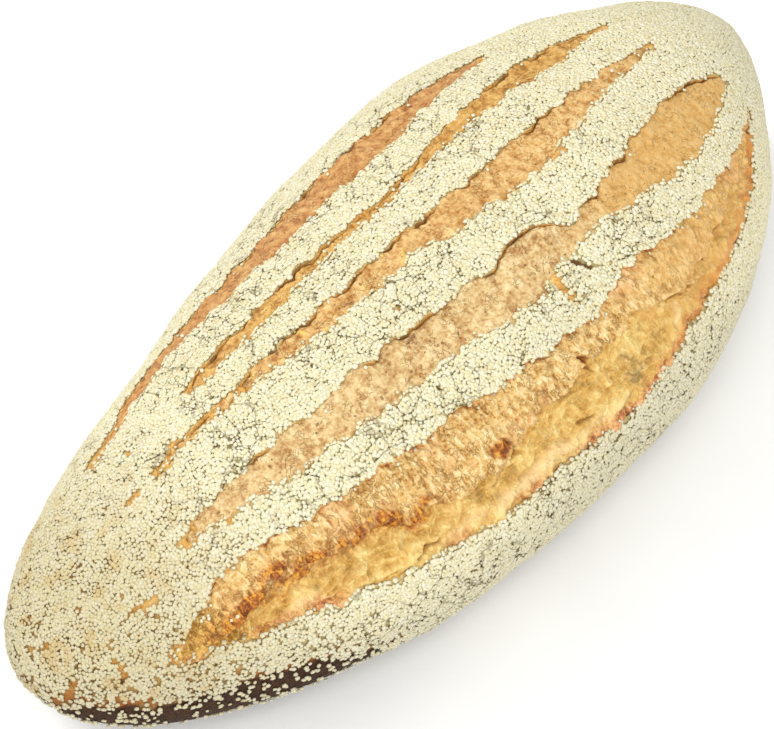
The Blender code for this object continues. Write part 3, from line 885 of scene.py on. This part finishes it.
strewn = bmesh.new()  # the five floors together, for the loose grain
strewn.from_mesh(crumb_mesh)
for seed, (name, stops) in enumerate(FLOOR_COLOURS.items(), start=301):
    form, spots, shares, upper, lower, opened = slab_grid(name)
    x_grid, across = spots[..., 0], spots[..., 1]
    lumps = unevenness(spots, 2.6, seed) + 0.6 * unevenness(spots, 1.3, seed + 20)
    fibre = unevenness(spots, (1.0, 2.2), seed + 40) + 0.6 * unevenness(spots, 0.7, seed + 60)
    swell = unevenness(spots, 8, seed + 80)
    height = profile(shares, FLOOR) + MM * (0.3 * swell + 0.24 * lumps + 0.18 * fibre)
    torn_low = patches(spots, seed + 90, (7, 40), -0.2, 0.4)
    past_upper = across - upper
    height = height - GULLY_DEPTH * torn_low * fade(past_upper, 0, GULLY_REACH) * opened
    height = height + FLUSH_RISE * (1 - torn_low) * fade(past_upper, 0, FLUSH_REACH) * opened
    blister = np.zeros_like(height)
    if name == "crown":
        blister = smooth(lumps + 0.6 * swell, 0.5, 1.1) * fade(x_grid, -25 * MM, 10 * MM)
        height = height + BLISTER_HEIGHT * blister
    amber = smooth(x_grid + 6 * MM * swell, *CALM_START) * (name == "necked")
    height = (height + CLOSED_DEPTH) * opened - CLOSED_DEPTH
    height[:, 0] = -FLOOR_TUCK_DEPTH
    height[:, -1] = -LOWER_TUCK_DEPTH
    # dark under the upper lip where the crumb tore low: painted shadow of the lip; the scorched lumps added
    # below are real browning
    rim = torn_low * fade(past_upper + 0.3 * MM * lumps, 0.1 * MM, 0.9 * MM)
    for oval in SCORCHED_LUMPS.get(name, ()):
        lump = fade(from_oval(spots, *oval) + 0.5 * lumps, 0.6, 1.4)
        lump = lump * smooth(fibre + 0.6 * lumps, -0.2, 0.5)
        height = height + LUMP_HEIGHT * lump * lumps
        rim = np.maximum(rim, lump)
    floor_mesh = lay_slab(name + "_crumb", form, across, height, {
        "blister": blister, "rim": rim, "amber": amber, "texture": 0.6 * lumps + 0.6 * fibre,
        "coat": strewn_grain(lower - across, past_upper, opened), "dim": 0 * height, "warm": 0 * height,
    })
    strewn.from_mesh(floor_mesh)
    finish = floor_finish(name.replace("_", " ") + " crumb", stops)
    floor_piece = put_in(name + "_crumb", floor_mesh, finish)
    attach(floor_piece, "root")
    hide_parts("loaf")

# The coat of grain. Cracked wheat and semolina that the wet dough was rolled in before it proved:
# thousands of single grains, five shapes of them, pressed on close enough to touch.
GRAIN_SIZE = 1.64 * MM
SPACING = 0.92 * MM
MOST_GRAINS = 1.2e7  # grains to a square metre that are tried before the spacing thins them
CRACK_WIDTH = 0.02 * MM  # grain is left out this near to a crack's middle
GRAIN_KINDS = {
    "round": {"Share From": 0, "Share To": 0.2, "Across": 1.00, "Along": 1.00, "Thick": 0.88},
    "long": {"Share From": 0.2, "Share To": 0.4, "Across": 0.86, "Along": 1.22, "Thick": 0.82},
    "broken": {"Share From": 0.4, "Share To": 0.6, "Across": 1.14, "Along": 1.00, "Thick": 0.78},
    "plump": {"Share From": 0.6, "Share To": 0.8, "Across": 1.08, "Along": 1.10, "Thick": 0.94},
    "split": {"Share From": 0.8, "Share To": 1, "Across": 0.94, "Along": 1.12, "Thick": 0.84},
    "loose": {"Share From": 0, "Share To": 1, "Across": 0.70, "Along": 0.84, "Thick": 0.66},
}


def grain_tree():
    """The nodes that scatter one kind of grain over the coated part of the skin."""
    tree = bpy.data.node_groups.new("scattered grain", "GeometryNodeTree")
    sockets = (
        ("Crust", "Geometry"), ("Spacing", "Float"), ("Most Grains", "Float"), ("Grain Size", "Float"),
        ("Share From", "Float"), ("Share To", "Float"), ("Across", "Float"), ("Along", "Float"),
        ("Thick", "Float"), ("Crack Width", "Float"), ("Grain Finish", "Material"),
    )
    for name, kind in sockets:
        tree.interface.new_socket(name, in_out="INPUT", socket_type="NodeSocket" + kind)
    tree.interface.new_socket("Grains", in_out="OUTPUT", socket_type="NodeSocketGeometry")
    wire = Wire(tree)
    entry = wire.node("NodeGroupInput")
    given = {name: Wire(tree, entry.socket.node.outputs[name]) for name, _ in sockets}

    def stored(name):
        kind = {"data_type": "FLOAT"}
        return wire.node("GeometryNodeInputNamedAttribute", kind, {"Name": name}, "Attribute")

    def draw(low, high, seed):
        limits = {2: low, 3: high, "Seed": seed}
        return wire.node("FunctionNodeRandomValue", {"data_type": "FLOAT"}, limits, 1)

    def keep(geometry, name, value):
        return wire.node("GeometryNodeStoreNamedAttribute", {"data_type": "FLOAT", "domain": "POINT"},
                         {"Geometry": geometry, "Name": name, "Value": value})

    def moved(geometry, offset):
        return wire.node("GeometryNodeSetPosition", None, {"Geometry": geometry, "Offset": offset})

    spread = wire.node("GeometryNodeDistributePointsOnFaces", {"distribute_method": "POISSON"}, {
        "Mesh": given["Crust"], "Distance Min": given["Spacing"], "Density Max": given["Most Grains"],
        "Density Factor": stored("coat"), "Seed": 7,
    })
    outward = Wire(tree, spread.socket.node.outputs["Normal"])
    facing = Wire(tree, spread.socket.node.outputs["Rotation"])
    places = wire.node("GeometryNodeInputPosition")
    cracks, cracked = crack_lines(wire, places)
    in_crack = (cracks < given["Crack Width"]) * (cracked > 0.5)
    shrunk = 1 - (1 - cracks.step(0.2 * MM, 0.8 * MM)) * cracked * 0.16
    shrunk = shrunk * (1 - stored("dim") * 0.05) * (1 - stored("warm") * 0.03)

    share = draw(0.0, 1.0, 11)
    other = 1 - (share > given["Share From"]) * (share < given["Share To"])
    left_out = (other + in_crack) > 0.5
    left = wire.node("GeometryNodeDeleteGeometry", {"domain": "POINT"},
                     {"Geometry": spread, "Selection": left_out})
    lift = wire.node("ShaderNodeVectorMath", {"operation": "SCALE"},
                     {0: outward, "Scale": given["Grain Size"] * draw(0.26, 0.38, 12)})
    toned = keep(moved(left, lift), "tone", draw(0.0, 1.0, 13))

    # a ball pressed flat on top and squared round its sides
    ball = wire.node("GeometryNodeMeshUVSphere", None, {"Radius": 0.5, "Segments": 5, "Rings": 3})
    upward = wire.node("ShaderNodeSeparateXYZ", None, {"Vector": places}, "Z")
    squared = upward * upward
    flattened = -0.92 * upward.sized()
    pressed = wire.node("ShaderNodeCombineXYZ", None, {"X": squared, "Y": squared, "Z": flattened})
    ball = moved(ball, wire.vectors("MULTIPLY", places, pressed))
    ball = keep(ball, "rise", 0.5 + upward * 1.5)
    apart = wire.node("ShaderNodeVectorMath", {"operation": "SCALE"},
                      {0: places, "Scale": 1 + given["Along"] * 3})
    dent = wire.node("ShaderNodeTexNoise", None, {"Vector": apart, "Scale": 2.3}, "Color")
    dent = wire.vectors("MULTIPLY_ADD", dent, (0.34, 0.34, 0.34), (-0.17, -0.17, -0.17))
    lean = wire.node("FunctionNodeRandomValue", {"data_type": "FLOAT_VECTOR"},
                     {0: (-0.2, -0.2, 0), 1: (0.2, 0.2, math.tau), "Seed": 14}, 0)
    turn = wire.node("FunctionNodeEulerToRotation", None, {"Euler": lean})
    turned = wire.node("FunctionNodeRotateRotation", {"rotation_space": "LOCAL"},
                       {"Rotation": facing, "Rotate By": turn})
    size = given["Grain Size"] * draw(0.76, 1.2, 15) * shrunk
    sizes = wire.node("ShaderNodeCombineXYZ", None, {
        "X": size * given["Across"],
        "Y": size * given["Along"] * draw(0.85, 1.15, 16),
        "Z": size * given["Thick"],
    })
    set_down = wire.node("GeometryNodeInstanceOnPoints", None,
                         {"Points": toned, "Instance": moved(ball, dent), "Rotation": turned, "Scale": sizes})
    real = wire.node("GeometryNodeRealizeInstances", None, {"Geometry": set_down})
    rounded = wire.node("GeometryNodeSetShadeSmooth", None, {"Geometry": real, "Shade Smooth": True})
    finished = wire.node("GeometryNodeSetMaterial", None,
                         {"Geometry": rounded, "Material": given["Grain Finish"]})
    leave = tree.nodes.new("NodeGroupOutput")
    tree.links.new(finished.socket, leave.inputs["Grains"])
    return tree


grain_finish, shader, wire, places = new_finish("cracked grain", 0.75, 0.3)
fine = wire.mottle(places, 0.5 * MM, 2)
patch = wire.mottle(places, 12 * MM, 2)
orange = wire.mottle(places, 7 * MM, 3).step(0.52, 0.68)
shade_and_browning_share, warm_share = wire.kept("dim"), wire.kept("warm")
# The grains' low sides drawn dark: painted shade in the gaps between touching grains, stronger on the near
# side and at the near end
gap_shade = (1 - wire.kept("rise").step(0.91, 1.01)) * (0.36 + shade_and_browning_share * 0.1 + warm_share * 0.14)
cracks, cracked = crack_lines(wire, places)
# grain along the cracks drawn darker: painted shade in the cracks
crack = (1 - cracks.step(0.06 * MM, 0.3 * MM)) * cracked * (1 - warm_share)
grain_colour = (wire.kept("tone") * 0.7 + patch * 0.3).ramp(
    (0.0, (232, 216, 166)), (0.2, (246, 238, 198)), (0.55, (252, 248, 216)), (1.0, (255, 253, 236)),
)
grain_colour = grain_colour.under(
    ((214, 184, 122), fine.step(0.62, 0.8) * 0.5),
    # greyer white grain on the near side and towards the ends: painted shade
    ((240, 238, 222), shade_and_browning_share * 0.4),
    ((236, 214, 158), warm_share * 0.2),
    ((226, 180, 96), warm_share * orange * 0.5),
    ((122, 106, 52), gap_shade),
    ((104, 88, 48), crack * 0.55),
)
finish_with(shader, wire, grain_colour, fine, 0.12 * MM)

strewn_mesh = bpy.data.meshes.new("strewn")
strewn.to_mesh(strewn_mesh)
strewn.free()
tree = grain_tree()
fields = {item.name: item.identifier for item in tree.interface.items_tree if item.in_out == "INPUT"}
for kind, shape in GRAIN_KINDS.items():
    carrier = put_in("carrier", strewn_mesh if kind == "loose" else skin_mesh)
    scatter = carrier.modifiers.new("grain", "NODES")
    scatter.node_group = tree
    settings = {
        "Spacing": SPACING, "Most Grains": MOST_GRAINS, "Grain Size": GRAIN_SIZE,
        "Crack Width": CRACK_WIDTH, "Grain Finish": grain_finish, **shape,
    }
    for name, value in settings.items():
        scatter[fields[name]] = value
    ready = carrier.evaluated_get(bpy.context.evaluated_depsgraph_get())
    grains_mesh = bpy.data.meshes.new_from_object(ready)
    carrier.modifiers.remove(scatter)
    bpy.data.objects.remove(carrier)
    grains_mesh.name = kind + "_grains"
    grains = put_in(kind + "_grains", grains_mesh)
    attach(grains, "root")
    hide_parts("loaf")

# The studio: a pale floor, a white room, a broad soft lamp behind the loaf's far side, and the
# camera where the photographer stood.
FLOOR_REACH = 1.5
floor_mesh = bpy.data.meshes.new("studio_floor")
floor_corners = [(x * FLOOR_REACH, y * FLOOR_REACH, 0) for x, y in ((-1, -1), (1, -1), (1, 1), (-1, 1))]
floor_mesh.from_pydata(floor_corners, [], [(0, 1, 2, 3)])
floor_look, shader, wire, places = new_finish("pale floor", 0.9, 0.2)
greys = ((0.3, (0.86, 0.86, 0.86, 1)), (0.7, (0.9, 0.9, 0.9, 1)))
base = wire.node("ShaderNodeValToRGB", {"stops": greys}, {"Fac": wire.mottle(places, 60 * MM)})
finish_with(shader, wire, base, wire.mottle(places, 2 * MM), 0.05 * MM)
studio_floor = put_in("studio_floor", floor_mesh, floor_look)

ROOM_LIGHT = 0.78
world = bpy.data.worlds.new("white room")
bpy.context.scene.world = world
world.use_nodes = True
background = world.node_tree.nodes["Background"]
background.inputs["Color"].default_value = (1, 1, 1, 1)
background.inputs["Strength"].default_value = ROOM_LIGHT

LAMPS_MEET = Vector((0, 0, 0.04))
LAMP_TINT = (1.0, 0.99, 0.96)
LAMPS = {
    "window": {"from": (-0.25, 1.1, 1.0), "size": 0.9, "power": 11.8},
    "reflector": {"from": (-0.7, -0.9, 1.2), "size": 1.4, "power": 20},
}
for name, lamp in LAMPS.items():
    light = bpy.data.lights.new(name, "AREA")
    light.size = lamp["size"]
    light.energy = lamp["power"]
    light.color = LAMP_TINT
    holder = put_in(name, light)
    holder.location = lamp["from"]
    holder.rotation_euler = (LAMPS_MEET - holder.location).to_track_quat("-Z", "Y").to_euler()

CAMERA_TURN = math.radians(50.27)
CAMERA_DIP = math.radians(51)
CAMERA_ROLL = math.radians(0.23)
CAMERA_DISTANCE = 1014.23 * MM
LENS = 153.95
AIM = np.array([0, -SIDE_SHIFT, 40 * MM])
AIM_ASIDE = (-9.29 * MM, -8.34 * MM)
right = np.array([math.cos(CAMERA_TURN), -math.sin(CAMERA_TURN), 0])
ahead = np.array([math.sin(CAMERA_TURN) * math.cos(CAMERA_DIP),
                  math.cos(CAMERA_TURN) * math.cos(CAMERA_DIP), -math.sin(CAMERA_DIP)])
upward = np.cross(right, ahead)
stand = AIM - ahead * CAMERA_DISTANCE
ahead = AIM + right * AIM_ASIDE[0] + upward * AIM_ASIDE[1] - stand
ahead = ahead / np.linalg.norm(ahead)
right = right - ahead * (right @ ahead)
right = right / np.linalg.norm(right)
upward = np.cross(right, ahead)
rolled_right = right * math.cos(CAMERA_ROLL) - upward * math.sin(CAMERA_ROLL)
rolled_up = right * math.sin(CAMERA_ROLL) + upward * math.cos(CAMERA_ROLL)
camera = bpy.data.cameras.new("camera")
camera.lens = LENS
camera.sensor_width = 36
camera.clip_start = 0.05
camera.clip_end = 20
viewer = put_in("camera", camera)
turned = Matrix((rolled_right, rolled_up, -ahead)).transposed().to_4x4()
turned.translation = Vector(stand)
viewer.matrix_world = turned
bpy.context.scene.camera = viewer
bpy.context.scene.view_settings.view_transform = "Standard"
